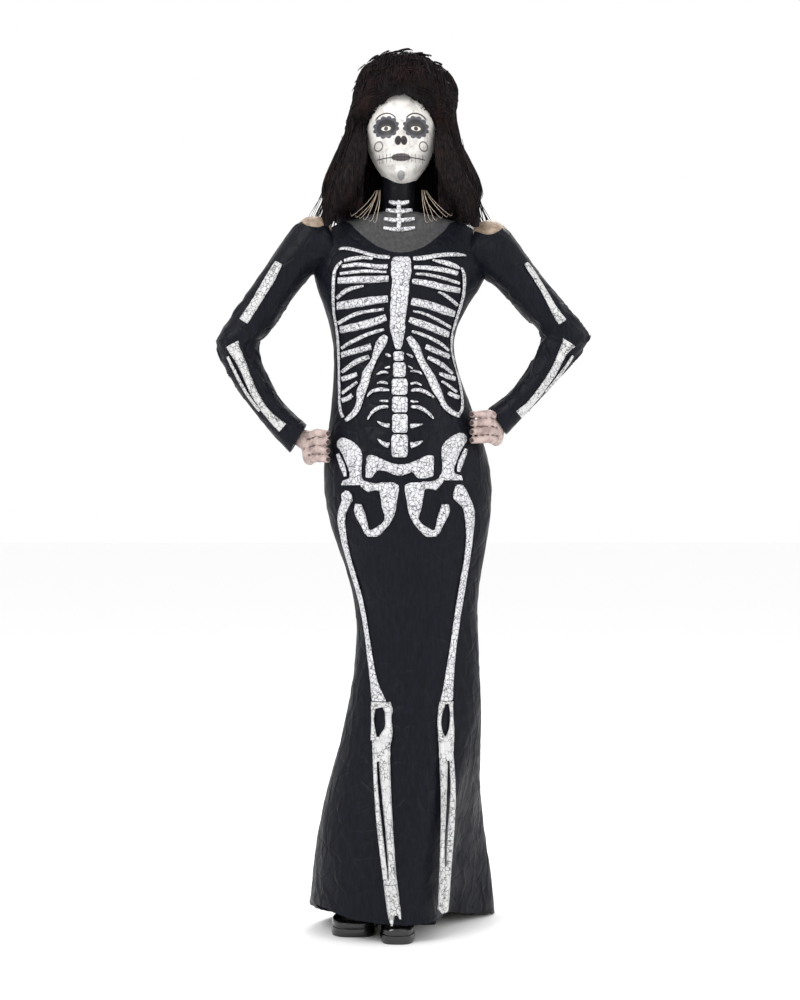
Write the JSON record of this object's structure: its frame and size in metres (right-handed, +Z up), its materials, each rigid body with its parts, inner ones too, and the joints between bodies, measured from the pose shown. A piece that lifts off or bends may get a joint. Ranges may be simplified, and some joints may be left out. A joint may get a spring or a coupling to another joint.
{
  "type": "papier-mache catrina figure",
  "caption": "Standing papier-mache catrina lady in a long black gown painted with a skeleton, both hands on her hips, hair piled up, free-standing on a hidden base board.",
  "frame": {"origin": "middle of the bounding box at floor level", "axes": "+Z up, the figure faces -Y, and its own right hand is on -X"},
  "size_m": [0.188, 0.0827, 0.4407],
  "materials": {
    "gown_paint": "satin",
    "bone_paint": "satin",
    "grey_bone_paint": "satin",
    "yoke_paint": "matte",
    "skin_paint": "satin",
    "nail_paint": "gloss",
    "face_paint": "satin",
    "hair_fibre": "matte",
    "shoe_paint": "gloss",
    "newsprint": "matte",
    "wood": "matte",
    "wire": "satin",
    "base_paint": "matte"
  },
  "bodies": {
    "root": {"base_board": "base_paint", "spine_dowel": "wood", "leg_wire_r": "wire", "leg_wire_l": "wire", "hip_block": "wood", "shoulder_bar": "wire", "arm_wire_r": "wire", "arm_wire_l": "wire", "skirt_core": "newsprint", "torso_core": "newsprint", "skirt": "gown_paint", "bodice": "gown_paint", "yoke": "yoke_paint", "shoulder_r": "skin_paint", "shoulder_l": "skin_paint", "neck": "gown_paint", "head": "face_paint", "hair_crown": "hair_fibre", "hair_fall": "hair_fibre", "hair_knot": "hair_fibre", "hair_lock_r": "hair_fibre", "hair_lock_l": "hair_fibre", "upper_sleeve_r": "gown_paint", "upper_sleeve_l": "gown_paint", "lower_sleeve_r": "gown_paint", "lower_sleeve_l": "gown_paint", "hand_r": "skin_paint", "hand_l": "skin_paint", "nails_r": "nail_paint", "nails_l": "nail_paint", "shoe_sole_r": "shoe_paint", "shoe_sole_l": "shoe_paint", "shoe_upper_r": "shoe_paint", "shoe_upper_l": "shoe_paint", "cervical_bones": "bone_paint", "clavicle_r": "bone_paint", "clavicle_l": "bone_paint", "sternum": "bone_paint", "ribs_r": "bone_paint", "ribs_l": "bone_paint", "costal_arch_r": "bone_paint", "costal_arch_l": "bone_paint", "vertebrae": "bone_paint", "spurs_r": "bone_paint", "spurs_l": "bone_paint", "sacrum": "bone_paint", "hip_bone_r": "bone_paint", "hip_bone_l": "bone_paint", "femur_r": "bone_paint", "femur_l": "bone_paint", "shin_r": "grey_bone_paint", "shin_l": "grey_bone_paint", "humerus_r": "grey_bone_paint", "humerus_l": "grey_bone_paint", "forearm_bones_r": "grey_bone_paint", "forearm_bones_l": "grey_bone_paint"}
  },
  "joints": []
}
